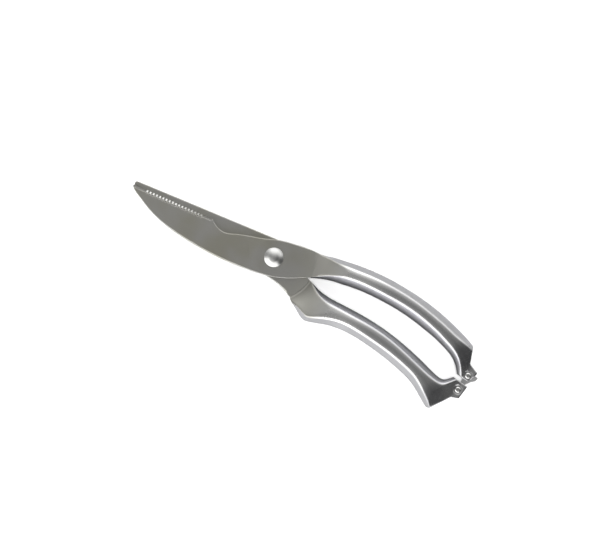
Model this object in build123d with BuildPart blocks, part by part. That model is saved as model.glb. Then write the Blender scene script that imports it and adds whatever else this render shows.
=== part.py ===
from build123d import *
import os

os.makedirs("parts", exist_ok=True)

# Kitchen shears for poultry, all steel, lying on the backs of their hollow handles.
# Millimetres, +Z up, blades towards -X, origin at the middle of the footprint.
# Every outline is drawn from the pivot, and heights are counted from the plane the blades slide in.

# Reach of the shears from the pivot
BLADE_REACH = 100.2
HANDLE_REACH = 147.5
TAIL_PROUD = 2.1
UPPER_RISE = 21.5
LOWER_DROP = 39.2
BLADE_DEPTH = 16.4

# Plates and the sheet of the handles
HANDLE_DEPTH = 13.0
PLATE = 2.5
SLIDING_GAP = 0.1
WALL = 1.3
TANG = 1.5
TANG_REACH = 46.0
OVERRUN = 5.0

# Handle section: an upright belt at the seam, leaning flanks and rolled folds
BELT = 0.9
ROLL = 4.7
FOLD_RADIUS = 3.0
CROWN = 0.5
ROOT_RADIUS = 26.5
ROOT_LIP = 0.15
RAMP_END = 52.0

# Ears at the handle ends and the slot for the latch between them
EAR_RADIUS = 141.0
EAR_RAMP = 14.0
EAR_RISE = 4.3
EAR_BEND = 10.0
EAR = 1.4
SLOT_RADIUS = 137.5
SLOT_NEAR = 2.8
SLOT_FAR = 27.0
LATCH = 2.0
LATCH_PLAY = 0.2
END_ROUND = 2.8

# Ground blades
EDGE_WIDTH = 1.3
EDGE_LAND = 0.15
EDGE_DEPTH = 1.75
GRIND = 0.7
GRIND_RUNOUT = 14.0
GRIND_BOSS = 11.2
GULLET = 0.8
GULLET_PITCH = 2.2
GULLET_INSET = 1.0
GULLET_COUNT = 18
GULLET_TILT = 42

# Pivot bolt, its nut and washer, the stop pin and the opening spring
SHANK = 3.2
RUNNING = 0.05
HEAD = 6.15
HEAD_RIM = 0.6
HEAD_HEIGHT = 2.9
THREAD = 2.4
THREAD_END = 1.5
NUT = 5.5
NUT_BREAK = 0.4
NUT_SLOT = 1.4
NUT_SLOT_DEPTH = 1.0
WASHER = 6.0
WASHER_DEPTH = 0.5
STOP_PIN = 1.25
STOP_RADIUS = 9.5
STOP_ANGLE = 100
STOP_TRAVEL = 30
STOP_PROUD = 1.0
STOP_PLAY = 0.2
STOP_SPARE = 1
WIRE = 0.5
WIRE_PLAY = 0.1
COIL_START = 4.5
COIL_PITCH = 1.2
COIL_BEND = 0.9
LEG_RISE = 1.9
LEG_TURN = 1.5
LEG_REACH = 9.4
POCKET = 7.4

# Rivets of the latch and the keeper
RIVET = 1.1
RIVET_HEAD = 1.9
RIVET_RISE = 0.55
RIVET_BORE = 0.65
RIVET_BORE_DEPTH = 1.2
SEAT = 3.3
SEAT_FLOOR = 2.4
SEAT_DEPTH = 0.25
KEEPER_X = 143.2
KEEPER_Y = -9.7
LATCH_X = 141.6
LATCH_Y = -20.5

# The latch hook, drawn from its rivet
EYE = 2.6
NECK = 0.6
MOUTH = 1.3
MOUTH_RADIUS = 10.92
MOUTH_TURN = 20.2
LIP_RADIUS = 13.6
LIP_TURN = 15.5

# Worked out from the sizes above
HALF = HANDLE_DEPTH / 2
PLATE_FACE = SLIDING_GAP / 2 + PLATE
SLIDING_FACE = SLIDING_GAP / 2
SLOT = LATCH / 2 + LATCH_PLAY
EAR_FACE = SLOT + EAR
PIVOT_X = (BLADE_REACH - HANDLE_REACH - TAIL_PROUD) / 2
PIVOT_Y = (LOWER_DROP - UPPER_RISE) / 2
COIL_LEVEL = -(SLIDING_FACE + WIRE_PLAY + WIRE)
PIVOT_AXIS = Axis((PIVOT_X, PIVOT_Y, 0), (0, 0, 1))

# Limbs from the pivot outwards. Each row has its share of HANDLE_REACH, the share of the rise or drop
# at its top side, the shares of ROLL that the top and bottom flanks lean inwards, the share of the rise
# or drop at its bottom side, and the share of half the handle's depth that it rises.
UPPER_LIMB_SHARES = (
    (-0.014, 0.519, 0.02, 0.02, -0.607, 1), (0.054, 0.623, 0.02, 0.02, -0.472, 1),
    (0.115, 0.691, 0.02, 0.02, -0.281, 1), (0.149, 0.705, 0.02, 0.02, -0.142, 1),
    (0.176, 0.716, 0.06, 0.26, -0.044, 1), (0.21, 0.772, 0.32, 0.7, 0.049, 1),
    (0.244, 0.826, 0.52, 0.81, 0.13, 1), (0.285, 0.874, 0.6, 0.89, 0.193, 1),
    (0.339, 0.933, 0.72, 1, 0.256, 1), (0.407, 0.981, 0.72, 0.94, 0.312, 1),
    (0.488, 1, 0.72, 0.91, 0.33, 1), (0.569, 0.977, 0.71, 0.93, 0.312, 1),
    (0.651, 0.921, 0.77, 0.95, 0.247, 1), (0.732, 0.823, 0.85, 0.86, 0.142, 0.99),
    (0.8, 0.707, 0.87, 0.74, 0.019, 0.965), (0.861, 0.577, 0.79, 0.71, -0.135, 0.89),
    (0.902, 0.477, 0.55, 0.85, -0.337, 0.75), (0.936, 0.381, 0.38, 0.98, -0.651, 0.56),
    (0.976, 0.256, 0.34, 1, -1.023, 0.42), (1.017, 0.116, 0.34, 1, -1.395, 0.41),
)
LOWER_LIMB_SHARES = (
    (-0.014, 0.284, 0.02, 0.02, -0.311, 1), (0.054, 0.24, 0.02, 0.02, -0.343, 1),
    (0.108, 0.112, 0.02, 0.02, -0.401, 1), (0.142, 0.015, 0.06, 0.21, -0.464, 1),
    (0.176, -0.056, 0.32, 0.55, -0.554, 1), (0.21, -0.098, 0.64, 0.7, -0.635, 1),
    (0.237, -0.133, 0.7, 0.62, -0.673, 1), (0.264, -0.153, 0.68, 0.66, -0.657, 1),
    (0.298, -0.166, 0.65, 0.79, -0.615, 1), (0.339, -0.168, 0.64, 0.9, -0.569, 1),
    (0.393, -0.167, 0.68, 0.93, -0.536, 1), (0.461, -0.173, 0.67, 0.86, -0.534, 1),
    (0.542, -0.198, 0.61, 0.86, -0.565, 1), (0.624, -0.246, 0.65, 0.9, -0.615, 1),
    (0.705, -0.316, 0.74, 0.91, -0.687, 1), (0.773, -0.388, 0.77, 0.9, -0.776, 0.985),
    (0.827, -0.453, 0.67, 0.79, -0.899, 0.94), (0.861, -0.486, 0.53, 0.64, -0.98, 0.88),
    (0.888, -0.482, 0.47, 0.53, -1.046, 0.8), (0.908, -0.423, 0.47, 0.49, -1.097, 0.72),
    (0.932, -0.335, 0.47, 0.47, -1.153, 0.59), (0.96, -0.285, 0.47, 0.47, -1.2, 0.48),
    (0.99, -0.27, 0.47, 0.47, -1.22, 0.43), (1.02, -0.27, 0.47, 0.47, -1.22, 0.41),
)
FIRST_SECTION = 2
LAST_OF_TANG = 10

# Handle ends, clockwise from the outer flank: share of HANDLE_REACH, share of the rise or drop, share of
# END_ROUND for the corner, and the shares of ROLL that the flank there leans along and across.
UPPER_END_SHARES = (
    (0.902, 0.521, 0, 0, 0), (0.936, 0.371, 1, -0.24, 0), (0.957, -0.12, 0.7, -0.15, 0), (1.002, -0.262, 0.3, 0, 0),
    (0.998, -0.37, 0.3, 0, 0), (0.979, -0.6, 0.3, 0, 0), (0.902, -0.535, 0, 0, 0),
)
LOWER_END_SHARES = (
    (0.902, -0.367, 0, 0, 0), (0.99, -0.411, 0.3, 0, 0), (0.979, -0.649, 0.3, 0, 0),
    (0.947, -0.69, 0.5, -0.12, 0.08), (0.883, -1.026, 1, -0.3, 0.25), (0.831, -0.934, 0, 0, 0),
)

# Root of a handle, over the tang and on the far side: share of RAMP_END and share of half the depth
NEAR_RAMP_SHARES = ((0.577, 0.49), (0.673, 0.68), (0.769, 0.83), (0.865, 0.94), (1, 1.02))
FAR_RAMP_SHARES = (
    (0.54, 0.09), (0.577, 0.23), (0.625, 0.44), (0.673, 0.61), (0.769, 0.83), (0.865, 0.94), (1, 1.02),
)

# Blades: shares of BLADE_REACH and BLADE_DEPTH
FRONT_EDGE_SHARES = ((-1, -0.018), (-0.994, 0.013), (-0.972, 0.037), (-0.458, 0.232))
NOTCH_SHARES = (
    (-0.458, 0.232), (-0.413, 0.055), (-0.375, -0.018), (-0.339, -0.012), (-0.283, 0.116), (-0.204, 0.287),
    (-0.104, 0.482),
)
BELLY_SHARES = (
    (-0.104, -0.882), (-0.224, -0.96), (-0.383, -0.998), (-0.543, -0.954), (-0.663, -0.869), (-0.782, -0.695),
    (-0.862, -0.512), (-0.942, -0.28), (-0.982, -0.14), (-1, -0.018),
)
SPINE_SHARES = ((-0.992, 0.018), (-0.997, 0.098), (-0.982, 0.183))
REAR_EDGE_SHARES = ((-0.14, -0.366), (-0.992, 0.018))
RICASSO_SHARES = ((-0.08, -0.64), (-0.14, -0.366))

# Tail of the latch hook: shares of LIP_RADIUS from the rivet
TAIL_SHARES = (
    (0.375, 0.927), (0.588, 0.905), (0.574, 0.8), (0.515, 0.69), (0.405, 0.618), (0.33, 0.52), (0.206, 0.39),
)
LEAN_SHARE = 1.1
ARCH_SHARE = 1.1


def level(height):
    """A drawing plane at the pivot, this high above the plane in which the blades slide."""
    return Plane(origin=(PIVOT_X, PIVOT_Y, HALF + height))


def upright(x, y):
    """A drawing plane that stands on the line of the blades, x along it and y upwards."""
    return Plane(origin=(PIVOT_X + x, PIVOT_Y + y, HALF), x_dir=(1, 0, 0), z_dir=(0, -1, 0))


def scaled(shares, along, across):
    """Outline points from the pivot, from their shares of two sizes."""
    return [(row[0] * along, row[1] * across) for row in shares]


def handle_body(limb, across, wall):
    """One half of a handle above the seam, as it runs through its cross sections."""
    with BuildPart() as body:
        for x, top, top_roll, bottom_roll, bottom, depth in limb[FIRST_SECTION:]:
            place = x * HANDLE_REACH
            rise = HALF * depth - wall
            shoulder = rise - CROWN * rise / HALF
            upper = top * across - wall * LEAN_SHARE
            lower = bottom * across + wall * LEAN_SHARE
            first = lower + bottom_roll * ROLL
            last = upper - top_roll * ROLL
            bend = FOLD_RADIUS - wall
            arch = (last - first) * ARCH_SHARE
            with BuildSketch(Plane(origin=(PIVOT_X + place, PIVOT_Y, HALF), x_dir=(0, 1, 0), z_dir=(1, 0, 0))):
                with BuildLine():
                    FilletPolyline(
                        (lower, 0), (lower, BELT), (first, shoulder), ((first + last) / 2, rise), (last, shoulder),
                        (upper, BELT), (upper, 0), radius=(0, bend, arch, bend, 0),
                    )
                    Line((upper, 0), (lower, 0))
                make_face()
        loft()
    return body.part


def end_face(end, across, lean, height):
    """The region that a handle may fill, as far as its end."""
    top = UPPER_RISE + OVERRUN
    low = -LOWER_DROP - OVERRUN
    rows = [(x * HANDLE_REACH + along * ROLL * lean, y * across + aside * ROLL * lean) for x, y, _, along, aside in end]
    rounds = [0] + [row[2] * END_ROUND for row in end] + [0]
    chain = [(0, top), (rows[0][0], top)] + rows + [(rows[-1][0], low), (0, low)]
    with BuildSketch(level(height)) as region:
        with BuildLine():
            FilletPolyline(*chain, radius=rounds)
            Line(chain[-1], chain[0])
        make_face()
    return region.sketch


def end_limit(end, across):
    """The end of a handle: upright at the belt, then leaning inwards."""
    foot = end_face(end, across, 0, -OVERRUN)
    belt = end_face(end, across, 0, BELT)
    crown = end_face(end, across, 1, HALF + BELT)
    with BuildPart() as limit:
        extrude(foot, amount=OVERRUN + BELT)
        loft([belt, crown], ruled=True)
    return limit.part


def root_cutter(shares, start_rise, wall):
    """What the ramp at the root of a handle leaves free, turned about the pivot."""
    start = (ROOT_RADIUS + wall, start_rise - wall)
    ramp = [start] + [(x * RAMP_END + wall, y * HALF - wall) for x, y in shares]
    with BuildPart() as cutter:
        with BuildSketch(upright(0, 0)):
            with BuildLine():
                Spline(*ramp)
                Polyline(
                    ramp[-1], (ramp[-1][0], HALF + OVERRUN), (0, HALF + OVERRUN), (0, -OVERRUN),
                    (ROOT_RADIUS + wall, -OVERRUN), start,
                )
            make_face()
        revolve(axis=PIVOT_AXIS)
    return cutter.part


def limb_face(limb, across, inset, radius, height):
    """A limb near the pivot in plan, out to this radius."""
    rows = limb[:LAST_OF_TANG]
    top = [(row[0] * HANDLE_REACH, row[1] * across - inset) for row in rows]
    bottom = [(row[0] * HANDLE_REACH, row[4] * across + inset) for row in rows]
    with BuildSketch(level(height)) as face:
        with BuildLine():
            Spline(*top)
            Line(top[-1], bottom[-1])
            Spline(*bottom)
            Line(bottom[0], top[0])
        make_face()
        Circle(radius, mode=Mode.INTERSECT)
    return face.sketch


def half_shell(limb, across, end, aside_share, near, rivet_x, rivet_y):
    """The half of a handle above the seam. The near one closes over the tang of its own limb."""
    ramp_shares = NEAR_RAMP_SHARES if near else FAR_RAMP_SHARES
    start_rise = PLATE_FACE if near else ROOT_LIP
    body = handle_body(limb, across, 0)
    hollow = handle_body(limb, across, WALL)
    root = root_cutter(ramp_shares, start_rise, 0)
    inner_root = root_cutter(ramp_shares, start_rise, WALL)
    limit = end_limit(end, across)
    inner_end = end_face(end, across, 1, 0).moved(Location((-WALL, WALL * aside_share, 0)))
    recess = limb_face(limb, across, WALL * LEAN_SHARE, TANG_REACH, 0)
    with BuildPart() as cavity:
        add(hollow)
        add(inner_root, mode=Mode.SUBTRACT)
        extrude(inner_end, amount=HALF, mode=Mode.INTERSECT)
        with BuildSketch(level(0)):
            Circle(SLOT_RADIUS)
        extrude(amount=HALF, mode=Mode.INTERSECT)
    with BuildPart() as shell:
        add(body)
        add(limit, mode=Mode.INTERSECT)
        add(root, mode=Mode.SUBTRACT)

        # The ear, pressed flat
        with BuildSketch(upright(0, 0)):
            with BuildLine():
                FilletPolyline(
                    (EAR_RADIUS - EAR_RAMP, EAR_FACE + EAR_RISE), (EAR_RADIUS, EAR_FACE),
                    (HANDLE_REACH + OVERRUN, EAR_FACE), radius=EAR_BEND,
                )
                Polyline(
                    (HANDLE_REACH + OVERRUN, EAR_FACE), (HANDLE_REACH + OVERRUN, HALF + OVERRUN),
                    (EAR_RADIUS - EAR_RAMP, HALF + OVERRUN), (EAR_RADIUS - EAR_RAMP, EAR_FACE + EAR_RISE),
                )
            make_face()
        revolve(axis=PIVOT_AXIS, mode=Mode.SUBTRACT)

        # The hollow, the slot of the latch and the room for the tang
        add(cavity.part, mode=Mode.SUBTRACT)
        with BuildSketch(level(0)):
            with Locations((SLOT_RADIUS + OVERRUN, -(SLOT_NEAR + SLOT_FAR) / 2)):
                Rectangle(OVERRUN * 4, SLOT_FAR - SLOT_NEAR)
            Circle(SLOT_RADIUS, mode=Mode.SUBTRACT)
        extrude(amount=SLOT, mode=Mode.SUBTRACT)
        if near:
            extrude(recess, amount=SLIDING_FACE + TANG, mode=Mode.SUBTRACT)

        # The dished seat and the hole of the rivet
        with BuildSketch(level(0)):
            with Locations((rivet_x, rivet_y)):
                Circle(RIVET)
        extrude(amount=HALF, mode=Mode.SUBTRACT)
        with Locations((PIVOT_X + rivet_x, PIVOT_Y + rivet_y, HALF + EAR_FACE)):
            Cone(SEAT_FLOOR, SEAT, SEAT_DEPTH, align=(Align.CENTER, Align.CENTER, Align.MAX), mode=Mode.SUBTRACT)
            Cylinder(SEAT, HALF, align=(Align.CENTER, Align.CENTER, Align.MIN), mode=Mode.SUBTRACT)
    return shell.part


def rivet(x, y):
    """A semi-tubular rivet through two ears, its bore at the front."""
    face = EAR_FACE - SEAT_DEPTH
    with BuildPart() as piece:
        with BuildSketch(upright(x, y)):
            with BuildLine():
                Polyline((0, face - RIVET_BORE_DEPTH), (RIVET_BORE, face - RIVET_BORE_DEPTH), (RIVET_BORE, face + RIVET_RISE))
                ThreePointArc(
                    (RIVET_BORE, face + RIVET_RISE), (RIVET_HEAD * 0.8, face + RIVET_RISE * 0.75), (RIVET_HEAD, face),
                )
                Polyline((RIVET_HEAD, face), (RIVET, face), (RIVET, -face), (RIVET_HEAD, -face))
                TangentArc((0, -face - RIVET_RISE), (RIVET_HEAD, -face), tangent=(1, 0))
                Line((0, -face - RIVET_RISE), (0, face - RIVET_BORE_DEPTH))
            make_face()
        revolve(axis=Axis((PIVOT_X + x, PIVOT_Y + y, 0), (0, 0, 1)))
    return piece.part


def grind_cutter(side):
    """The slanting cut that thins a blade towards its edge and runs out round the pivot."""
    wedge = [
        (-BLADE_DEPTH, PLATE_FACE), (BLADE_DEPTH, PLATE_FACE - GRIND), (BLADE_DEPTH, PLATE_FACE + OVERRUN),
        (-BLADE_DEPTH, PLATE_FACE + OVERRUN),
    ]
    with BuildPart() as cutter:
        with BuildSketch(Plane(origin=(PIVOT_X, PIVOT_Y, HALF), x_dir=(0, 1, 0), z_dir=(1, 0, 0))):
            with BuildLine():
                Polyline(*[(y * side, z * side) for y, z in wedge], close=True)
            make_face()
        extrude(amount=-BLADE_REACH - OVERRUN)
        with Locations(Plane(level(PLATE_FACE * side).origin, z_dir=(0, 0, side))):
            Cone(
                GRIND_BOSS + GRIND_RUNOUT * 2, GRIND_BOSS, GRIND * 2, mode=Mode.SUBTRACT,
                align=(Align.CENTER, Align.CENTER, Align.MAX),
            )
            Cylinder(
                GRIND_BOSS, OVERRUN * 2, mode=Mode.SUBTRACT, align=(Align.CENTER, Align.CENTER, Align.MIN),
            )
    return cutter.part


def edge_cutter(start, end, side):
    """The bevel that gives a blade its edge, from the heel to past the tip."""
    along = (Vector(*end) - Vector(*start)).normalized()
    out = Vector(along.Y, -along.X) if side > 0 else Vector(-along.Y, along.X)
    fall = EDGE_DEPTH - EDGE_LAND
    land = SLIDING_FACE + EDGE_LAND
    with BuildPart() as cutter:
        with BuildSketch(Plane(origin=level(0).origin + Vector(*start), x_dir=out, z_dir=out.cross(Vector(0, 0, side)))):
            with BuildLine():
                Polyline(
                    (EDGE_WIDTH, land - fall), (-EDGE_WIDTH * 2, land + fall * 2), (EDGE_WIDTH, land + fall * 2),
                    close=True,
                )
            make_face()
        length = (Vector(*end) - Vector(*start)).length + OVERRUN
        extrude(amount=length * along.dot(out.cross(Vector(0, 0, side))))
    return cutter.part


# Front limb: ground blade with a toothed edge, bone notch and tang
edge = scaled(FRONT_EDGE_SHARES, BLADE_REACH, BLADE_DEPTH)
notch = scaled(NOTCH_SHARES, BLADE_REACH, BLADE_DEPTH)
belly = scaled(BELLY_SHARES, BLADE_REACH, BLADE_DEPTH)
root_rows = UPPER_LIMB_SHARES[:LAST_OF_TANG]
top_side = [(row[0] * HANDLE_REACH, row[1] * UPPER_RISE) for row in root_rows]
bottom_side = [(row[0] * HANDLE_REACH, row[4] * UPPER_RISE) for row in root_rows]
tang = limb_face(UPPER_LIMB_SHARES, UPPER_RISE, WALL * LEAN_SHARE, TANG_REACH, SLIDING_FACE)
grind = grind_cutter(1)
bevel = edge_cutter(edge[3], edge[1], 1)
edge_line = (Vector(*edge[3]) - Vector(*edge[2])).normalized()
edge_middle = (Vector(*edge[3]) + Vector(*edge[2])) / 2
across_edge = Vector(-edge_line.Y, edge_line.X)
tooth_centre = level(SLIDING_FACE + EDGE_DEPTH).origin + edge_middle - across_edge * GULLET_INSET
tooth_axis = across_edge.rotate(Axis((0, 0, 0), edge_line), -GULLET_TILT)
groove = CenterArc((0, 0), STOP_RADIUS, STOP_ANGLE - STOP_TRAVEL - STOP_SPARE, STOP_TRAVEL + STOP_SPARE * 2)
with BuildPart() as front_blade:
    with BuildSketch(level(SLIDING_FACE)):
        with BuildLine():
            Polyline(*edge)
            Spline(*(notch + top_side))
            Line(top_side[-1], bottom_side[-1])
            Spline(*(bottom_side[::-1] + belly))
        make_face()
    extrude(amount=PLATE)
    with BuildSketch(level(SLIDING_FACE)):
        with Locations((HANDLE_REACH / 2, 0)):
            Rectangle(HANDLE_REACH, HANDLE_REACH)
        Circle(ROOT_RADIUS, mode=Mode.SUBTRACT)
    extrude(amount=PLATE, mode=Mode.SUBTRACT)
    extrude(tang, amount=TANG)
    add(grind, mode=Mode.SUBTRACT)
    add(bevel, mode=Mode.SUBTRACT)

    # The gullets of the toothed edge
    with BuildSketch(Plane(origin=tooth_centre, x_dir=edge_line, z_dir=tooth_axis)):
        with GridLocations(GULLET_PITCH, 0, GULLET_COUNT, 1):
            Circle(GULLET)
    extrude(amount=OVERRUN, both=True, mode=Mode.SUBTRACT)

    # The pivot hole, the groove of the stop pin and the hole of the spring leg
    with BuildSketch(level(SLIDING_FACE)):
        Circle(SHANK + RUNNING)
    extrude(amount=PLATE, mode=Mode.SUBTRACT)
    with BuildSketch(level(SLIDING_FACE)):
        SlotArc(groove, (STOP_PIN + STOP_PLAY) * 2)
    extrude(amount=STOP_PROUD + STOP_PLAY, mode=Mode.SUBTRACT)
    with BuildSketch(level(SLIDING_FACE)):
        with Locations((COIL_START - COIL_PITCH / 4, -COIL_BEND)):
            Circle(WIRE + WIRE_PLAY)
    extrude(amount=COIL_LEVEL + LEG_RISE + WIRE_PLAY - SLIDING_FACE, mode=Mode.SUBTRACT)
front_blade.part.label = "front_blade"
export_step(front_blade.part, "parts/front_blade.step")

# Rear limb: plain ground blade with the spring's pocket and the hole of the stop pin
spine = scaled(SPINE_SHARES, BLADE_REACH, BLADE_DEPTH)
rear_edge = scaled(REAR_EDGE_SHARES, BLADE_REACH, BLADE_DEPTH)
ricasso = scaled(RICASSO_SHARES, BLADE_REACH, BLADE_DEPTH)
root_rows = LOWER_LIMB_SHARES[:LAST_OF_TANG]
top_side = [(row[0] * HANDLE_REACH, row[1] * LOWER_DROP) for row in root_rows]
bottom_side = [(row[0] * HANDLE_REACH, row[4] * LOWER_DROP) for row in root_rows]
tang = limb_face(LOWER_LIMB_SHARES, LOWER_DROP, WALL * LEAN_SHARE, TANG_REACH, -SLIDING_FACE)
grind = grind_cutter(-1)
bevel = edge_cutter(rear_edge[0], rear_edge[1], -1)
with BuildPart() as rear_blade:
    with BuildSketch(level(-SLIDING_FACE)):
        with BuildLine():
            ThreePointArc(*spine)
            Line(spine[2], top_side[0])
            Spline(
                *top_side,
                tangents=(Vector(*top_side[0]) - Vector(*spine[2]), Vector(*top_side[-1]) - Vector(*top_side[-2])),
            )
            Line(top_side[-1], bottom_side[-1])
            Spline(*(bottom_side[::-1] + ricasso[:1]))
            Polyline(*ricasso, spine[0])
        make_face()
    extrude(amount=-PLATE)
    with BuildSketch(level(-SLIDING_FACE)):
        with Locations((HANDLE_REACH / 2, 0)):
            Rectangle(HANDLE_REACH, HANDLE_REACH)
        Circle(ROOT_RADIUS, mode=Mode.SUBTRACT)
    extrude(amount=-PLATE, mode=Mode.SUBTRACT)
    extrude(tang, amount=-TANG)
    add(grind, mode=Mode.SUBTRACT)
    add(bevel, mode=Mode.SUBTRACT)
    with BuildSketch(level(-SLIDING_FACE)):
        Circle(SHANK)
        with PolarLocations(STOP_RADIUS, 1, start_angle=STOP_ANGLE):
            Circle(STOP_PIN)
    extrude(amount=-PLATE, mode=Mode.SUBTRACT)
    with BuildSketch(level(-SLIDING_FACE)):
        Circle(POCKET)
        with Locations(((POCKET + LEG_REACH) / 2, LEG_TURN)):
            Rectangle(LEG_REACH - POCKET + WIRE * 4, WIRE * 4)
    extrude(amount=-WIRE * 2 - WIRE_PLAY, mode=Mode.SUBTRACT)
rear_blade.part.label = "rear_blade"
export_step(rear_blade.part, "parts/rear_blade.step")

# Upper handle, on the front limb: its front half closes over the tang
shell = half_shell(UPPER_LIMB_SHARES, UPPER_RISE, UPPER_END_SHARES, 0, True, KEEPER_X, KEEPER_Y)
with BuildPart() as upper_handle_front_shell:
    add(shell)
upper_handle_front_shell.part.label = "upper_handle_front_shell"
export_step(upper_handle_front_shell.part, "parts/upper_handle_front_shell.step")

shell = half_shell(UPPER_LIMB_SHARES, UPPER_RISE, UPPER_END_SHARES, 0, False, KEEPER_X, KEEPER_Y)
with BuildPart() as upper_handle_back_shell:
    mirror(shell, about=level(0))
upper_handle_back_shell.part.label = "upper_handle_back_shell"
export_step(upper_handle_back_shell.part, "parts/upper_handle_back_shell.step")

# Lower handle, on the rear limb: its back half closes over the tang
shell = half_shell(LOWER_LIMB_SHARES, LOWER_DROP, LOWER_END_SHARES, 0.6, False, LATCH_X, LATCH_Y)
with BuildPart() as lower_handle_front_shell:
    add(shell)
lower_handle_front_shell.part.label = "lower_handle_front_shell"
export_step(lower_handle_front_shell.part, "parts/lower_handle_front_shell.step")

shell = half_shell(LOWER_LIMB_SHARES, LOWER_DROP, LOWER_END_SHARES, 0.6, True, LATCH_X, LATCH_Y)
with BuildPart() as lower_handle_back_shell:
    mirror(shell, about=level(0))
lower_handle_back_shell.part.label = "lower_handle_back_shell"
export_step(lower_handle_back_shell.part, "parts/lower_handle_back_shell.step")

# Pivot bolt: polished domed head, shank and the thread's core
rim = PLATE_FACE + RUNNING
with BuildPart() as pivot_bolt:
    with BuildSketch(upright(0, 0)):
        with BuildLine():
            TangentArc((0, rim + HEAD_HEIGHT), (HEAD, rim + HEAD_RIM), tangent=(1, 0))
            Polyline(
                (HEAD, rim + HEAD_RIM), (HEAD, rim), (SHANK, rim), (SHANK, -PLATE_FACE - WASHER_DEPTH),
                (THREAD, -PLATE_FACE - WASHER_DEPTH), (THREAD, -HALF + THREAD_END), (0, -HALF + THREAD_END),
                (0, rim + HEAD_HEIGHT),
            )
        make_face()
    revolve(axis=PIVOT_AXIS)
pivot_bolt.part.label = "pivot_bolt"
export_step(pivot_bolt.part, "parts/pivot_bolt.step")

# Washer between the rear plate and the nut
with BuildPart() as pivot_washer:
    with BuildSketch(level(-PLATE_FACE)):
        Circle(WASHER)
        Circle(SHANK, mode=Mode.SUBTRACT)
    extrude(amount=-WASHER_DEPTH)
pivot_washer.part.label = "pivot_washer"
export_step(pivot_washer.part, "parts/pivot_washer.step")

# Round nut with a screwdriver slot, the third foot of the shears on a table
with BuildPart() as pivot_nut:
    with BuildSketch(level(-HALF)):
        Circle(NUT)
    extrude(amount=HALF - PLATE_FACE - WASHER_DEPTH)
    chamfer(pivot_nut.edges().group_by(Axis.Z)[0], NUT_BREAK)
    with BuildSketch(level(-HALF)):
        Circle(THREAD)
    extrude(amount=HALF - PLATE_FACE - WASHER_DEPTH, mode=Mode.SUBTRACT)
    with BuildSketch(level(-HALF)):
        Rectangle(NUT_SLOT, NUT * 2)
    extrude(amount=NUT_SLOT_DEPTH, mode=Mode.SUBTRACT)
pivot_nut.part.label = "pivot_nut"
export_step(pivot_nut.part, "parts/pivot_nut.step")

# Stop pin, driven into the rear plate
with BuildPart() as stop_pin:
    with BuildSketch(level(-PLATE_FACE)):
        with PolarLocations(STOP_RADIUS, 1, start_angle=STOP_ANGLE):
            Circle(STOP_PIN)
    extrude(amount=PLATE_FACE + SLIDING_FACE + STOP_PROUD)
stop_pin.part.label = "stop_pin"
export_step(stop_pin.part, "parts/stop_pin.step")

# Opening spring: two flat turns of wire, one leg up into the front plate, one out into the rear plate
offset_share = 1 / 4
begin = COIL_START - COIL_PITCH * offset_share
finish = COIL_START + COIL_PITCH * 3 / 2 + COIL_PITCH * offset_share
with BuildPart() as opening_spring:
    for turn in range(4):
        hand = 1 - turn % 2 * 2
        centre = -COIL_PITCH * offset_share * hand
        with BuildSketch(upright(0, 0)):
            with Locations((centre + (COIL_START + COIL_PITCH * turn / 2) * hand, COIL_LEVEL)):
                Circle(WIRE)
        revolve(axis=Axis((PIVOT_X + centre, PIVOT_Y, 0), (0, 0, 1)), revolution_arc=180)

    # Outer leg, bent outwards into the notch of the rear plate
    with BuildSketch(upright(0, 0)):
        with Locations((finish, COIL_LEVEL)):
            Circle(WIRE)
    revolve(axis=Axis((PIVOT_X + finish + LEG_TURN, PIVOT_Y, 0), (0, 0, -1)), revolution_arc=90)
    with BuildSketch(Plane(origin=level(COIL_LEVEL).origin + Vector(finish + LEG_TURN, LEG_TURN), z_dir=(1, 0, 0))):
        Circle(WIRE)
    extrude(amount=LEG_REACH - finish - LEG_TURN)

    # Inner leg, bent up into the front plate
    with BuildSketch(upright(0, 0)):
        with Locations((begin, COIL_LEVEL)):
            Circle(WIRE)
    revolve(axis=Axis((PIVOT_X, PIVOT_Y, HALF + COIL_LEVEL + COIL_BEND), (-1, 0, 0)), revolution_arc=90)
    with BuildSketch(level(COIL_LEVEL + COIL_BEND)):
        with Locations((begin, -COIL_BEND)):
            Circle(WIRE)
    extrude(amount=LEG_RISE - COIL_BEND)
opening_spring.part.label = "opening_spring"
export_step(opening_spring.part, "parts/opening_spring.step")

# Keeper rivet through the ears of the upper handle
with BuildPart() as keeper_rivet:
    add(rivet(KEEPER_X, KEEPER_Y))
keeper_rivet.part.label = "keeper_rivet"
export_step(keeper_rivet.part, "parts/keeper_rivet.step")

# Latch rivet through the ears of the lower handle
with BuildPart() as latch_rivet:
    add(rivet(LATCH_X, LATCH_Y))
latch_rivet.part.label = "latch_rivet"
export_step(latch_rivet.part, "parts/latch_rivet.step")

# Latch hook: eye, neck, mouth for the keeper rivet and a curled thumb tail
lip = Vector(0, 1).rotate(Axis.Z, -LIP_TURN)
tail = [(x * LIP_RADIUS, y * LIP_RADIUS) for x, y in TAIL_SHARES]
lip_tip = lip * LIP_RADIUS
mouth = CenterArc((0, 0), MOUTH_RADIUS, 90 - MOUTH_TURN, 60)
with BuildPart() as latch_hook:
    with BuildSketch(Plane(origin=level(-LATCH / 2).origin + Vector(LATCH_X, LATCH_Y))):
        with BuildLine():
            Polyline((EYE, 0), (-NECK, 0), (-NECK, MOUTH_RADIUS), lip * MOUTH_RADIUS, lip_tip)
            RadiusArc(lip_tip, tail[0], LIP_RADIUS)
            Polyline(tail[0], tail[1], tail[2])
            Spline(*tail[2:])
            Line(tail[-1], (EYE, 0))
        make_face()
        SlotArc(mouth, MOUTH * 2, mode=Mode.SUBTRACT)
        Circle(EYE)
        Circle(RIVET + RUNNING, mode=Mode.SUBTRACT)
    extrude(amount=LATCH)
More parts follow.
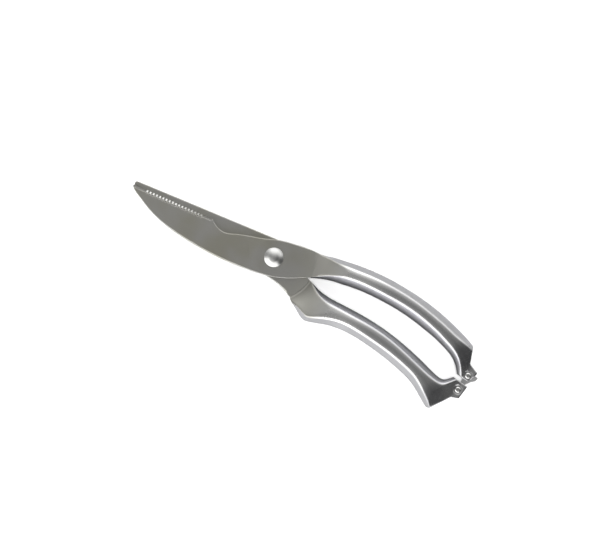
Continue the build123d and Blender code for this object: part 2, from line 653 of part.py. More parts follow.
latch_hook.part.label = "latch_hook"
export_step(latch_hook.part, "parts/latch_hook.step")
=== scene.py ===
import math

import bpy
from mathutils import Matrix, Vector

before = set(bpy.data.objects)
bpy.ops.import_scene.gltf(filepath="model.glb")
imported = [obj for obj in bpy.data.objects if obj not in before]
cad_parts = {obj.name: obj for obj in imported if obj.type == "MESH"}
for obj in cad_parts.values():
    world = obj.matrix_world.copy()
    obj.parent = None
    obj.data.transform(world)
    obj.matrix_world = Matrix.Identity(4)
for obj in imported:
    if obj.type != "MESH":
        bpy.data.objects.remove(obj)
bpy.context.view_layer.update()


# Blade plates
# Two stampings of martensitic stainless steel, 2.5 mm thick. Their faces are belt ground, which leaves
# fine scratches along the blade and a soft, slightly olive sheen with no clear reflections.

def srgb(code):
    """An sRGB hex colour as linear RGBA."""
    parts = [int(code[i:i + 2], 16) / 255 for i in (1, 3, 5)]
    return [c / 12.92 if c <= 0.04045 else ((c + 0.055) / 1.055) ** 2.4 for c in parts] + [1.0]


def new_material(name):
    material = bpy.data.materials.new(name)
    material.use_nodes = True
    material.node_tree.nodes.clear()
    return material


def add_node(owner, kind, inputs=None, **settings):
    """Adds a node. An input gets a value, an output, or the first output in use of another node."""
    node = owner.node_tree.nodes.new(kind)
    for name, value in settings.items():
        setattr(node, name, value)
    for name, value in (inputs or {}).items():
        if isinstance(value, bpy.types.Node):
            value = next(output for output in value.outputs if output.enabled)
        if isinstance(value, bpy.types.NodeSocket):
            owner.node_tree.links.new(value, node.inputs[name])
        else:
            node.inputs[name].default_value = value
    return node


def finish_node(name, material):
    """Gives a CAD node its finish."""
    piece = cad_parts[name]
    piece.data.materials.clear()
    piece.data.materials.append(material)


MM = 0.001
STREAKS = 2                # noise has about one light and one dark streak per unit
SCRATCH = 0.25 * MM        # width of the belt's scratches, drawn coarser than grit 240 to show
SCRATCH_LENGTH = 6 * MM
SCRATCH_DEPTH = 0.02 * MM
TARNISH = 22 * MM          # size of the faint warm clouds that handling leaves
CLOUD_START = 0.35         # noise level where a cloud starts
CLOUD_FULL = 0.7
CORNER = 0.9 * MM
WORN_CORNER = 2.2 * MM     # the corners on the lower handle's side are rounded most
WORN_FROM = -2 * MM
WORN_FULLY = -6 * MM
SEAM_LEVEL = 6.5 * MM      # between the two plates, and between the two halves of each handle
PIVOT = Vector((-24.7 * MM, 8.85 * MM, SEAM_LEVEL))
ROOT_TONE_CHANGE = 21 * MM    # from the pivot, halfway in the change to the painted tones of the roots
ROOT_TONE_FADE = 10 * MM
JOINT_ARC = 26.5 * MM      # from the pivot to where the plates and the handles meet
FLUSH = 0.05               # share of the rounding that is left at that arc
EDGE_LINE = Vector((0.998, 0.062, 0))                  # along the toothed edge
EDGE_MIDDLE = Vector((-96.34 * MM, 11.06 * MM, 0))     # between the two middle gullets
BEVEL_FACING = Vector((-0.052, 0.774, 0.631))
BEVEL_START = 0.72         # cosines of the turn from that facing
BEVEL_FULL = 0.86
GULLETS_EACH_WAY = 9
GULLET_PITCH = 2.2 * MM
GULLET_START = 0.18        # shares of the pitch, from the tooth between two gullets
GULLET_FULL = 0.34
GULLET_TOP = 8.0 * MM
GULLET_FADE = 0.4 * MM

ground_steel = new_material("belt_ground_martensitic_steel")
place = add_node(ground_steel, "ShaderNodeTexCoord")
here = place.outputs["Object"]
spot = add_node(ground_steel, "ShaderNodeSeparateXYZ", {"Vector": here})
along = add_node(
    ground_steel, "ShaderNodeMapping", {"Vector": here, "Scale": (SCRATCH / SCRATCH_LENGTH, 1, 1)},
)
scratches = add_node(
    ground_steel, "ShaderNodeTexNoise",
    {"Vector": along, "Scale": 1 / (SCRATCH * STREAKS), "Detail": 3.0, "Roughness": 0.7},
)
# Clean steel turns faintly olive in the clouds
clouds = add_node(
    ground_steel, "ShaderNodeTexNoise", {"Vector": here, "Scale": 1 / TARNISH, "Detail": 2.0},
)
tarnish = add_node(
    ground_steel, "ShaderNodeMapRange",
    {"Value": clouds, "From Min": CLOUD_START, "From Max": CLOUD_FULL},
    interpolation_type="SMOOTHSTEP",
)
worn = add_node(
    ground_steel, "ShaderNodeMix",
    {"Factor": tarnish, "A": srgb("#b3b2ae"), "B": srgb("#aba99e")}, data_type="RGBA",
)
# Painted sheen: the plates are painted brighter towards the roots of the handles
from_pivot = add_node(
    ground_steel, "ShaderNodeVectorMath", {0: here, 1: PIVOT}, operation="DISTANCE",
)
changed = add_node(
    ground_steel, "ShaderNodeMapRange",
    {
        "Value": from_pivot, "From Min": ROOT_TONE_CHANGE - ROOT_TONE_FADE,
        "From Max": ROOT_TONE_CHANGE + ROOT_TONE_FADE,
    },
    interpolation_type="SMOOTHSTEP",
)
handle_side = add_node(
    ground_steel, "ShaderNodeMapRange",
    {"Value": spot.outputs["X"], "From Min": PIVOT.x, "From Max": PIVOT.x + ROOT_TONE_FADE},
    interpolation_type="SMOOTHSTEP",
)
root_sheen = add_node(ground_steel, "ShaderNodeMath", {0: changed, 1: handle_side}, operation="MULTIPLY")
face = add_node(
    ground_steel, "ShaderNodeMix", {"Factor": root_sheen, "A": worn, "B": srgb("#bbbab3")},
    data_type="RGBA",
)
# Painted shade: the bevel of the toothed edge is painted dark
lean = add_node(
    ground_steel, "ShaderNodeVectorMath", {0: place.outputs["Normal"], 1: BEVEL_FACING},
    operation="DOT_PRODUCT",
)
leaning = add_node(
    ground_steel, "ShaderNodeMapRange",
    {"Value": lean, "From Min": BEVEL_START, "From Max": BEVEL_FULL},
    interpolation_type="SMOOTHSTEP",
)
front_plate = add_node(
    ground_steel, "ShaderNodeMath", {0: spot.outputs["Z"], 1: SEAM_LEVEL}, operation="GREATER_THAN",
)
on_bevel = add_node(ground_steel, "ShaderNodeMath", {0: leaning, 1: front_plate}, operation="MULTIPLY")
# Painted glints: its small gullets are painted bright, but only near the edge, where they are open, and
# fainter towards the notch
reach = add_node(
    ground_steel, "ShaderNodeVectorMath", {0: here, 1: EDGE_LINE}, operation="DOT_PRODUCT",
)
from_middle = add_node(
    ground_steel, "ShaderNodeMath", {0: reach, 1: EDGE_MIDDLE.dot(EDGE_LINE)}, operation="SUBTRACT",
)
repeat = add_node(
    ground_steel, "ShaderNodeMath", {0: from_middle, 1: GULLET_PITCH / 2}, operation="PINGPONG",
)
gullet = add_node(
    ground_steel, "ShaderNodeMapRange",
    {
        "Value": repeat, "From Min": GULLET_PITCH * GULLET_START,
        "From Max": GULLET_PITCH * GULLET_FULL,
    },
    interpolation_type="SMOOTHSTEP",
)
either_way = add_node(ground_steel, "ShaderNodeMath", {0: from_middle}, operation="ABSOLUTE")
toothed = add_node(
    ground_steel, "ShaderNodeMapRange",
    {
        "Value": either_way, "From Min": GULLET_PITCH * GULLETS_EACH_WAY,
        "From Max": GULLET_PITCH * (GULLETS_EACH_WAY - 0.1),
    },
)
open_part = add_node(
    ground_steel, "ShaderNodeMapRange",
    {"Value": spot.outputs["Z"], "From Min": GULLET_TOP, "From Max": GULLET_TOP - GULLET_FADE},
    interpolation_type="SMOOTHSTEP",
)
glint_fade = add_node(
    ground_steel, "ShaderNodeMapRange",
    {
        "Value": from_middle, "From Min": 0, "From Max": GULLET_PITCH * GULLETS_EACH_WAY,
        "To Min": 1.0, "To Max": 0.3,
    },
)
gullet_glint = gullet
for limit in (toothed, open_part, glint_fade):
    gullet_glint = add_node(
        ground_steel, "ShaderNodeMath", {0: gullet_glint, 1: limit}, operation="MULTIPLY",
    )
# Painted shade on the bevel, and painted glints on its gullets
bevel_shade_and_glints = add_node(
    ground_steel, "ShaderNodeMix",
    {"Factor": gullet_glint, "A": srgb("#787774"), "B": srgb("#f7f7f5")}, data_type="RGBA",
)
tint = add_node(
    ground_steel, "ShaderNodeMix", {"Factor": on_bevel, "A": face, "B": bevel_shade_and_glints},
    data_type="RGBA",
)
# The scratches spread the light, more so where they bunch
dull = add_node(
    ground_steel, "ShaderNodeMapRange", {"Value": scratches, "To Min": 0.32, "To Max": 0.42},
)
# Grinding leaves the corners slightly rounded, and they glint, but less so round the teeth, and not
# where the plates run into the handles
handled = add_node(
    ground_steel, "ShaderNodeMapRange",
    {
        "Value": spot.outputs["Y"], "From Min": WORN_FROM, "From Max": WORN_FULLY,
        "To Min": CORNER, "To Max": WORN_CORNER,
    },
    interpolation_type="SMOOTHSTEP",
)
crisp = add_node(
    ground_steel, "ShaderNodeMapRange", {"Value": on_bevel, "To Min": 1.0, "To Max": 0.2},
)
near_arc = add_node(
    ground_steel, "ShaderNodeMapRange",
    {"Value": from_pivot, "From Min": JOINT_ARC - 4 * MM, "From Max": JOINT_ARC - 1 * MM},
    interpolation_type="SMOOTHSTEP",
)
at_root = add_node(
    ground_steel, "ShaderNodeMath", {0: near_arc, 1: handle_side}, operation="MULTIPLY",
)
flush = add_node(
    ground_steel, "ShaderNodeMapRange", {"Value": at_root, "To Min": 1.0, "To Max": FLUSH},
)
radius = handled
for limit in (crisp, flush):
    radius = add_node(ground_steel, "ShaderNodeMath", {0: radius, 1: limit}, operation="MULTIPLY")
rounded = add_node(ground_steel, "ShaderNodeBevel", {"Radius": radius}, samples=12)
relief = add_node(
    ground_steel, "ShaderNodeBump",
    {"Strength": 0.1, "Distance": SCRATCH_DEPTH, "Height": scratches, "Normal": rounded},
)
surface = add_node(
    ground_steel, "ShaderNodeBsdfPrincipled",
    {"Metallic": 1.0, "Base Color": tint, "Roughness": dull, "Normal": relief},
)
add_node(ground_steel, "ShaderNodeOutputMaterial", {"Surface": surface})
finish_node("front_blade", ground_steel)
finish_node("rear_blade", ground_steel)


# Handles
# Half shells of drawn stainless sheet, 1.3 mm thick, brazed along their seam. They are tumbled after
# drawing, so the folds come out bright. The walls inside the grip carry painted shade, darkest by the
# seam.

MEDIA = 0.5 * MM           # width of the tumbling media's marks, drawn coarser than they are to show
MEDIA_DEPTH = 0.02 * MM
TUMBLING_CLOUDS = 18 * MM
SEAM = 0.15 * MM           # half the width of the brazed seam line
INNER_SHADE_START = 1.0 * MM      # the painted shade on the inner walls is darkest up to here above the seam
INNER_SHADE_END = 4.4 * MM        # and bright from here on
FOLD_BLEND = 2.2 * MM      # how far the folds of the hollow part blend into the crowned top
EDGE_BREAK = 1.2 * MM      # how far the edges of the pressed ends are rounded
LIP = 1.6 * MM             # width of the painted light on the lip at the plate
END_SHADE_REACH = 12 * MM        # the pressed ends carry painted shade up to here from their middle
ROOT_START = 8 * MM        # this and the next five are places along the shears
ROOT_END = 26 * MM
SHEEN_START = 30 * MM
SHEEN_END = 54 * MM
PRESSED_START = 98 * MM
PRESSED_END = 106 * MM
SATIN_SHADE_START = 0.84         # cosines of a wall's tilt from level
SATIN_SHADE_FULL = 0.62
LIP_START = 0.98
LIP_FULL = 0.93
INNER_START = 0.3          # sines of the turn towards the other handle
INNER_FULL = 0.6

# Each limb gets its own copy of the steel, with its own painted shade at the root and painted light on
# the lip
for limb, inner_side, root_painted_shade, lip_painted_light, end_middle in (
    ("upper", -1, "#aeaca6", "#c4c3bd", Vector((110 * MM, 9 * MM, SEAM_LEVEL))),
    ("lower", 1, "#72716b", "#e2e0d8", Vector((104 * MM, -23 * MM, SEAM_LEVEL))),
):
    silky_steel = new_material(f"tumbled_austenitic_steel_{limb}")
    place = add_node(silky_steel, "ShaderNodeTexCoord")
    here = place.outputs["Object"]
    spot = add_node(silky_steel, "ShaderNodeSeparateXYZ", {"Vector": here})
    facing = add_node(silky_steel, "ShaderNodeSeparateXYZ", {"Vector": place.outputs["Normal"]})
    from_pivot = add_node(
        silky_steel, "ShaderNodeVectorMath", {0: here, 1: PIVOT}, operation="DISTANCE",
    )
    fine = add_node(
        silky_steel, "ShaderNodeTexNoise",
        {"Vector": here, "Scale": 1 / (MEDIA * STREAKS), "Detail": 3.0},
    )
    clouds = add_node(
        silky_steel, "ShaderNodeTexNoise",
        {"Vector": here, "Scale": 1 / TUMBLING_CLOUDS, "Detail": 2.0},
    )
    clean = add_node(
        silky_steel, "ShaderNodeMix",
        {"Factor": clouds, "A": srgb("#c2c2c2"), "B": srgb("#cacaca")}, data_type="RGBA",
    )
    # Painted shade: the pressed ends are painted darker
    from_end = add_node(
        silky_steel, "ShaderNodeVectorMath", {0: here, 1: end_middle}, operation="DISTANCE",
    )
    end_shade = add_node(
        silky_steel, "ShaderNodeMapRange",
        {"Value": from_end, "From Min": END_SHADE_REACH, "From Max": END_SHADE_REACH / 2},
        interpolation_type="SMOOTHSTEP",
    )
    clean_and_end_shade = add_node(
        silky_steel, "ShaderNodeMix", {"Factor": end_shade, "A": clean, "B": srgb("#a2a2a4")},
        data_type="RGBA",
    )
    # Painted sheen: the start of the grip is painted brighter
    grip_sheen = add_node(
        silky_steel, "ShaderNodeMapRange",
        {"Value": spot.outputs["X"], "From Min": SHEEN_END, "From Max": SHEEN_START},
        interpolation_type="SMOOTHSTEP",
    )
    with_grip_sheen = add_node(
        silky_steel, "ShaderNodeMix", {"Factor": grip_sheen, "A": clean_and_end_shade, "B": srgb("#ececea")},
        data_type="RGBA",
    )
    # The root is belt ground with the plate. Near the plate it carries painted shade, far darker on the
    # lower limb
    ground = add_node(
        silky_steel, "ShaderNodeMapRange",
        {"Value": spot.outputs["X"], "From Min": ROOT_END, "From Max": ROOT_START},
        interpolation_type="SMOOTHSTEP",
    )
    away = add_node(
        silky_steel, "ShaderNodeMapRange",
        {
            "Value": from_pivot, "From Min": ROOT_TONE_CHANGE,
            "From Max": ROOT_TONE_CHANGE + ROOT_TONE_FADE * 2,
        },
        interpolation_type="SMOOTHSTEP",
    )
    root_shaded_tint = add_node(
        silky_steel, "ShaderNodeMix",
        {"Factor": away, "A": srgb(root_painted_shade), "B": srgb("#b2b1aa")}, data_type="RGBA",
    )
    tint = add_node(
        silky_steel, "ShaderNodeMix", {"Factor": ground, "A": with_grip_sheen, "B": root_shaded_tint},
        data_type="RGBA",
    )
    # The steep walls come out of the barrel satin and rougher; their darker tint is painted shade
    level = add_node(silky_steel, "ShaderNodeMath", {0: facing.outputs["Z"]}, operation="ABSOLUTE")
    steep = add_node(
        silky_steel, "ShaderNodeMapRange",
        {"Value": level, "From Min": SATIN_SHADE_START, "From Max": SATIN_SHADE_FULL},
        interpolation_type="SMOOTHSTEP",
    )
    satin_and_wall_shade = add_node(
        silky_steel, "ShaderNodeMix", {"Factor": steep, "A": tint, "B": srgb("#9b9b9d")},
        data_type="RGBA",
    )
    # Painted light: the lip at the plate is painted bright, hiding the shade of its step
    beside_plate = add_node(
        silky_steel, "ShaderNodeMapRange",
        {"Value": from_pivot, "From Min": JOINT_ARC + LIP, "From Max": JOINT_ARC + LIP - 1 * MM},
    )
    tilted = add_node(
        silky_steel, "ShaderNodeMapRange",
        {"Value": level, "From Min": LIP_START, "From Max": LIP_FULL},
    )
    on_lip = add_node(
        silky_steel, "ShaderNodeMath", {0: beside_plate, 1: tilted}, operation="MULTIPLY",
    )
    outside = add_node(
        silky_steel, "ShaderNodeMix", {"Factor": on_lip, "A": satin_and_wall_shade, "B": srgb(lip_painted_light)},
        data_type="RGBA",
    )
    # Painted shade: the walls inside the grip, told by their facing, are painted darkest beside the
    # seam
    inside = add_node(
        silky_steel, "ShaderNodeMapRange",
        {
            "Value": facing.outputs["Y"], "From Min": INNER_START * inner_side,
            "From Max": INNER_FULL * inner_side,
        },
        interpolation_type="SMOOTHSTEP",
    )
    above = add_node(
        silky_steel, "ShaderNodeMath", {0: spot.outputs["Z"], 1: SEAM_LEVEL}, operation="SUBTRACT",
    )
    height = add_node(silky_steel, "ShaderNodeMath", {0: above}, operation="ABSOLUTE")
    away_from_seam_shade = add_node(
        silky_steel, "ShaderNodeMapRange",
        {"Value": height, "From Min": INNER_SHADE_START, "From Max": INNER_SHADE_END},
    )
    inner_wall_shade = add_node(
        silky_steel, "ShaderNodeMix",
        {"Factor": away_from_seam_shade, "A": srgb("#525254"), "B": srgb("#bebec2")}, data_type="RGBA",
    )
    walls = add_node(
        silky_steel, "ShaderNodeMix", {"Factor": inside, "A": outside, "B": inner_wall_shade},
        data_type="RGBA",
    )
    # The brazed seam is a thin dark line along the belt
    line = add_node(
        silky_steel, "ShaderNodeMapRange",
        {"Value": height, "From Min": SEAM * 1.5, "From Max": SEAM * 0.5},
        interpolation_type="SMOOTHSTEP",
    )
    colour = add_node(
        silky_steel, "ShaderNodeMix", {"Factor": line, "A": walls, "B": srgb("#6c6b68")},
        data_type="RGBA",
    )
    # The folds are smooth, the root and the steep walls duller, and the media's marks vary both
    soft_root = add_node(
        silky_steel, "ShaderNodeMix", {"Factor": ground, 2: 0.24, 3: 0.42}, data_type="FLOAT",
    )
    soft_wall = add_node(
        silky_steel, "ShaderNodeMix", {"Factor": steep, 2: soft_root, 3: 0.48}, data_type="FLOAT",
    )
    marks = add_node(
        silky_steel, "ShaderNodeMapRange", {"Value": fine, "To Min": -0.03, "To Max": 0.03},
    )
    dull = add_node(silky_steel, "ShaderNodeMath", {0: soft_wall, 1: marks}, operation="ADD")
    # The folds blend softly, the pressed ends less, and at the plate nothing is rounded
    blend = add_node(
        silky_steel, "ShaderNodeMapRange",
        {
            "Value": spot.outputs["X"], "From Min": PRESSED_START, "From Max": PRESSED_END,
            "To Min": FOLD_BLEND, "To Max": EDGE_BREAK,
        },
        interpolation_type="SMOOTHSTEP",
    )
    flush = add_node(
        silky_steel, "ShaderNodeMapRange",
        {
            "Value": from_pivot, "From Min": JOINT_ARC + 1 * MM, "From Max": JOINT_ARC + 5 * MM,
            "To Min": FLUSH, "To Max": 1.0,
        },
        interpolation_type="SMOOTHSTEP",
    )
    radius = add_node(silky_steel, "ShaderNodeMath", {0: blend, 1: flush}, operation="MULTIPLY")
    rounded = add_node(silky_steel, "ShaderNodeBevel", {"Radius": radius}, samples=16)
    relief = add_node(
        silky_steel, "ShaderNodeBump",
        {"Strength": 0.04, "Distance": MEDIA_DEPTH, "Height": fine, "Normal": rounded},
    )
    surface = add_node(
        silky_steel, "ShaderNodeBsdfPrincipled",
        {"Metallic": 1.0, "Base Color": colour, "Roughness": dull, "Normal": relief},
    )
    add_node(silky_steel, "ShaderNodeOutputMaterial", {"Surface": surface})
    finish_node(f"{limb}_handle_front_shell", silky_steel)
    finish_node(f"{limb}_handle_back_shell", silky_steel)


# Pivot bolt
# Turned from stainless bar. Its domed head is buffed on a wheel, so it mirrors the room with soft edges
# and carries faint rings round its middle.

WAVE_TURN = 20             # the wave texture turns by this angle per unit
RINGS = 2.5133 * MM        # spacing of the buffing wheel's rings, drawn coarser than they are to show
SMEARS = 4 * MM

buffed_steel = new_material("wheel_buffed_stainless_steel")
place = add_node(buffed_steel, "ShaderNodeTexCoord")
here = place.outputs["Object"]
centred = add_node(buffed_steel, "ShaderNodeMapping", {"Vector": here, "Location": -PIVOT})
rings = add_node(
    buffed_steel, "ShaderNodeTexWave",
    {
        "Vector": centred, "Scale": math.tau / (WAVE_TURN * RINGS), "Distortion": 1.5,
        "Detail": 2.0,
    },
    wave_type="RINGS", rings_direction="Z",
)
dull = add_node(
    buffed_steel, "ShaderNodeMapRange",
    {"Value": rings.outputs["Fac"], "To Min": 0.28, "To Max": 0.34},
)
smears = add_node(
    buffed_steel, "ShaderNodeTexNoise", {"Vector": here, "Scale": 1 / SMEARS, "Detail": 2.0},
)
tint = add_node(
    buffed_steel, "ShaderNodeMix",
    {"Factor": smears, "A": srgb("#c4c4c2"), "B": srgb("#cdcdcb")}, data_type="RGBA",
)
surface = add_node(
    buffed_steel, "ShaderNodeBsdfPrincipled",
    {"Metallic": 1.0, "Base Color": tint, "Roughness": dull},
)
add_node(buffed_steel, "ShaderNodeOutputMaterial", {"Surface": surface})
finish_node("pivot_bolt", buffed_steel)


# Nut, washer and stop pin
# Turned from free-cutting stainless bar and left as they come off the lathe: satin, with fine tool
# marks.

TOOL_MARK = 0.9425 * MM    # spacing of the tool marks, drawn coarser than they are to show
TOOL_DEPTH = 0.01 * MM
STAINS = 3 * MM

turned_steel = new_material("lathe_turned_stainless_steel")
place = add_node(turned_steel, "ShaderNodeTexCoord")
here = place.outputs["Object"]
centred = add_node(turned_steel, "ShaderNodeMapping", {"Vector": here, "Location": -PIVOT})
marks = add_node(
    turned_steel, "ShaderNodeTexWave",
    {"Vector": centred, "Scale": math.tau / (WAVE_TURN * TOOL_MARK), "Distortion": 0.6},
    wave_type="RINGS", rings_direction="Z",
)
stains = add_node(
    turned_steel, "ShaderNodeTexNoise", {"Vector": here, "Scale": 1 / STAINS, "Detail": 2.0},
)
tint = add_node(
    turned_steel, "ShaderNodeMix",
    {"Factor": stains, "A": srgb("#b8b7b3"), "B": srgb("#c3c2be")}, data_type="RGBA",
)
dull = add_node(
    turned_steel, "ShaderNodeMapRange",
    {"Value": marks.outputs["Fac"], "To Min": 0.24, "To Max": 0.36},
)
relief = add_node(
    turned_steel, "ShaderNodeBump",
    {"Strength": 0.2, "Distance": TOOL_DEPTH, "Height": marks.outputs["Fac"]},
)
surface = add_node(
    turned_steel, "ShaderNodeBsdfPrincipled",
    {"Metallic": 1.0, "Base Color": tint, "Roughness": dull, "Normal": relief},
)
add_node(turned_steel, "ShaderNodeOutputMaterial", {"Surface": surface})
for name in ("pivot_nut", "pivot_washer", "stop_pin"):
    finish_node(name, turned_steel)


# Opening spring
# Hard-drawn stainless spring wire, 1 mm thick, wound flat. Drawing leaves it smooth and a little yellow
# from the tempering heat.

DRAW_LINE = 0.1 * MM       # width of the lines that the drawing die leaves
HEAT_CLOUDS = 5 * MM

spring_wire = new_material("hard_drawn_spring_wire")
place = add_node(spring_wire, "ShaderNodeTexCoord")
here = place.outputs["Object"]
lines = add_node(
    spring_wire, "ShaderNodeTexNoise",
    {"Vector": here, "Scale": 1 / (DRAW_LINE * STREAKS), "Detail": 2.0},
)
heat = add_node(spring_wire, "ShaderNodeTexNoise", {"Vector": here, "Scale": 1 / HEAT_CLOUDS})
tint = add_node(
    spring_wire, "ShaderNodeMix",
    {"Factor": heat, "A": srgb("#b9b2a0"), "B": srgb("#aeaba4")}, data_type="RGBA",
)
dull = add_node(
    spring_wire, "ShaderNodeMapRange", {"Value": lines, "To Min": 0.22, "To Max": 0.34},
)
surface = add_node(
    spring_wire, "ShaderNodeBsdfPrincipled",
    {"Metallic": 1.0, "Base Color": tint, "Roughness": dull},
)
add_node(spring_wire, "ShaderNodeOutputMaterial", {"Surface": surface})
finish_node("opening_spring", spring_wire)


# Keeper and latch rivets
# Semi-tubular rivets of soft stainless steel. The closing tool burnishes their rims, which glint.

BURNISH = 0.3 * MM         # width of the closing tool's dents
BURNISH_DEPTH = 0.03 * MM

rivet_steel = new_material("burnished_rivet_steel")
place = add_node(rivet_steel, "ShaderNodeTexCoord")
dents = add_node(
    rivet_steel, "ShaderNodeTexNoise",
    {"Vector": place.outputs["Object"], "Scale": 1 / (BURNISH * STREAKS), "Detail": 2.0},
)
tint = add_node(
    rivet_steel, "ShaderNodeMix",
    {"Factor": dents, "A": srgb("#cbcbc9"), "B": srgb("#dadad8")}, data_type="RGBA",
)
dull = add_node(
    rivet_steel, "ShaderNodeMapRange", {"Value": dents, "To Min": 0.12, "To Max": 0.22},
)
relief = add_node(
    rivet_steel, "ShaderNodeBump", {"Strength": 0.15, "Distance": BURNISH_DEPTH, "Height": dents},
)
surface = add_node(
    rivet_steel, "ShaderNodeBsdfPrincipled",
    {"Metallic": 1.0, "Base Color": tint, "Roughness": dull, "Normal": relief},
)
add_node(rivet_steel, "ShaderNodeOutputMaterial", {"Surface": surface})
finish_node("keeper_rivet", rivet_steel)
finish_node("latch_rivet", rivet_steel)


# Latch hook
# Blanked from 2 mm stainless sheet and barrel finished: paler and flatter than the handles, with a few
# rub marks where it slides over the keeper rivet.

RUB = 0.8 * MM             # width of the rub marks
RUB_DEPTH = 0.03 * MM

latch_steel = new_material("barrel_finished_sheet_steel")
place = add_node(latch_steel, "ShaderNodeTexCoord")
rubs = add_node(
    latch_steel, "ShaderNodeTexNoise",
    {
        "Vector": place.outputs["Object"], "Scale": 1 / (RUB * STREAKS), "Detail": 3.0,
        "Roughness": 0.6,
    },
)
tint = add_node(
    latch_steel, "ShaderNodeMix",
    {"Factor": rubs, "A": srgb("#cfcfcf"), "B": srgb("#e2e2e2")}, data_type="RGBA",
)
dull = add_node(
    latch_steel, "ShaderNodeMapRange", {"Value": rubs, "To Min": 0.32, "To Max": 0.5},
)
relief = add_node(
    latch_steel, "ShaderNodeBump", {"Strength": 0.1, "Distance": RUB_DEPTH, "Height": rubs},
)
surface = add_node(
    latch_steel, "ShaderNodeBsdfPrincipled",
    {"Metallic": 1.0, "Base Color": tint, "Roughness": dull, "Normal": relief},
)
add_node(latch_steel, "ShaderNodeOutputMaterial", {"Surface": surface})
finish_node("latch_hook", latch_steel)


# Floor
# A white table top, matt and plain.

FLOOR_SIZE = 6.0

bpy.ops.mesh.primitive_plane_add(size=FLOOR_SIZE)
floor = bpy.context.object
floor.name = "floor"
white_table = new_material("matt_white_table")
surface = add_node(white_table, "ShaderNodeBsdfDiffuse", {"Color": srgb("#f6f6f6")})
add_node(white_table, "ShaderNodeOutputMaterial", {"Surface": surface})
floor.data.materials.append(white_table)


# Room
# Soft light from all sides: a grey ceiling that darkens past the handle ends, a large bright screen on
# the lower handle's side and a dimmer one on the upper's, and a softbox that lights the floor alone.

LAMP_HEIGHT = 1.6
LAMP_SIZE = 0.5
LAMP_WATTS = 20.0

room = bpy.data.worlds.new("room")
bpy.context.scene.world = room
room.use_nodes = True
room.node_tree.nodes.clear()
direction = add_node(room, "ShaderNodeTexCoord").outputs["Generated"]
split = add_node(room, "ShaderNodeSeparateXYZ", {"Vector": direction})
# Sine of the tilt along the shears, from behind the blade tips to past the handle ends, and brightness
lengthwise = (
    (-1.0, 0.42), (-0.5, 0.34), (-0.36, 0.34), (-0.2, 0.35), (-0.12, 0.34), (0.0, 0.32),
    (0.08, 0.3), (0.16, 0.2), (0.3, 0.12), (0.5, 0.09), (1.0, 0.1),
)
# Sine of the tilt across them, from the lower handle's side to the upper's, and brightness
crosswise = (
    (-1.0, 1.5), (-0.6, 1.5), (-0.42, 1.15), (-0.28, 0.95), (-0.15, 0.94), (0.0, 1.0),
    (0.08, 1.1), (0.18, 1.35), (0.3, 1.9), (0.45, 2.8), (0.7, 2.9), (1.0, 2.2),
)
ceiling = 1.0
for axis, levels in (("X", lengthwise), ("Y", crosswise)):
    spread = add_node(
        room, "ShaderNodeMapRange",
        {"Value": split.outputs[axis], "From Min": -1.0, "From Max": 1.0},
    )
    shade = add_node(room, "ShaderNodeValToRGB", {"Fac": spread})
    ramp = shade.color_ramp
    ramp.interpolation = "B_SPLINE"
    # A ramp holds brightnesses up to 1, so the peak comes in after it
    peak = max(value for at, value in levels)
    for at, value in levels[1:-1]:
        ramp.elements.new((at + 1) / 2)
    for stop, (at, value) in zip(ramp.elements, levels):
        stop.position = (at + 1) / 2
        stop.color = (value / peak, value / peak, value / peak, 1)
    lit = add_node(room, "ShaderNodeMath", {0: shade, 1: peak}, operation="MULTIPLY")
    ceiling = add_node(room, "ShaderNodeMath", {0: lit, 1: ceiling}, operation="MULTIPLY")


def screen(side, bottom, top, width, brightness):
    """A bright screen with soft edges, each given by where its light starts and where it is full:
    sines of the height for the bottom and the top, and a cosine of the turn aside for the width."""
    flat = add_node(
        room, "ShaderNodeVectorMath", {0: direction, 1: (1, 1, 0)}, operation="MULTIPLY",
    )
    heading = add_node(room, "ShaderNodeVectorMath", {0: flat}, operation="NORMALIZE")
    bearing = add_node(
        room, "ShaderNodeVectorMath", {0: heading, 1: (0, side, 0)}, operation="DOT_PRODUCT",
    )
    height = split.outputs["Z"]
    glow = brightness
    for measure, (start, full) in ((height, bottom), (height, top), (bearing, width)):
        edge = add_node(
            room, "ShaderNodeMapRange", {"Value": measure, "From Min": start, "From Max": full},
            interpolation_type="SMOOTHSTEP",
        )
        glow = add_node(room, "ShaderNodeMath", {0: edge, 1: glow}, operation="MULTIPLY")
    return glow


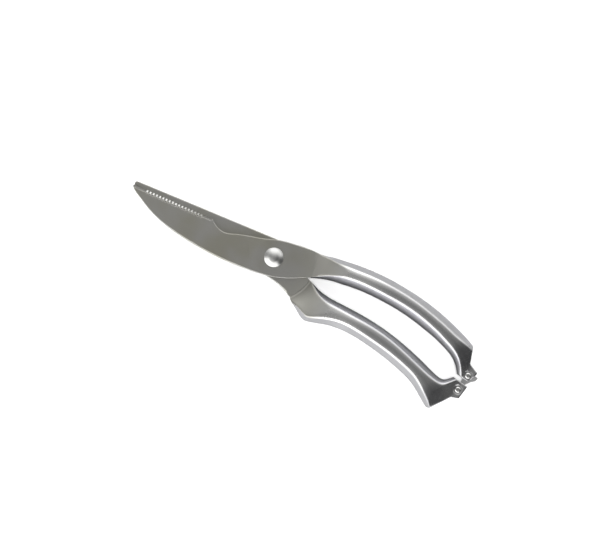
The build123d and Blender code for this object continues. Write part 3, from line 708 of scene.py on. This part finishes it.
lower_screen = screen(
    side=-1, bottom=(-0.1, 0.05), top=(0.84, 0.72), width=(0.35, 0.7), brightness=1.9,
)
upper_screen = screen(
    side=1, bottom=(0.15, 0.3), top=(0.9, 0.6), width=(0.4, 0.8), brightness=1.1,
)
light = ceiling
for extra in (lower_screen, upper_screen):
    light = add_node(room, "ShaderNodeMath", {0: light, 1: extra}, operation="ADD")
glow = add_node(room, "ShaderNodeBackground", {"Color": light, "Strength": 1.0})
add_node(room, "ShaderNodeOutputWorld", {"Surface": glow})

lamp_data = bpy.data.lights.new("overhead_softbox", "AREA")
lamp_data.shape = "DISK"
lamp_data.size = LAMP_SIZE
lamp_data.energy = LAMP_WATTS
lamp = bpy.data.objects.new("overhead_softbox", lamp_data)
bpy.context.scene.collection.objects.link(lamp)
lamp.location = (0, 0, LAMP_HEIGHT)
lamp.visible_glossy = False
lamp.visible_camera = False


# Camera
# Looks straight down on the shears, turned so that they lie across the picture as in the photograph.

TURN = math.radians(27.5)
WIDTH_PX = 600
CENTRE_PX = (300, 280)
PIVOT_PX = (273.9, 257.35)
PIXEL = 0.631 * MM         # size of a pixel at the level of the handles' tops
TOP_LEVEL = 9 * MM
FOCAL = 85.0
SENSOR = 36.0
across = Vector((math.cos(TURN), math.sin(TURN), 0))
upwards = Vector((-math.sin(TURN), math.cos(TURN), 0))
rightward_px = CENTRE_PX[0] - PIVOT_PX[0]
downward_px = CENTRE_PX[1] - PIVOT_PX[1]
look_at = PIVOT + (across * rightward_px - upwards * downward_px) * PIXEL
look_at.z = TOP_LEVEL
camera_data = bpy.data.cameras.new("camera")
camera_data.lens = FOCAL
camera_data.sensor_width = SENSOR
camera = bpy.data.objects.new("camera", camera_data)
bpy.context.scene.collection.objects.link(camera)
distance = WIDTH_PX * PIXEL * FOCAL / SENSOR
straight_down = Matrix((across, upwards, Vector((0, 0, 1)))).transposed().to_4x4()
camera.matrix_world = Matrix.Translation(look_at + Vector((0, 0, distance))) @ straight_down
bpy.context.scene.camera = camera
bpy.context.scene.view_settings.view_transform = "Standard"
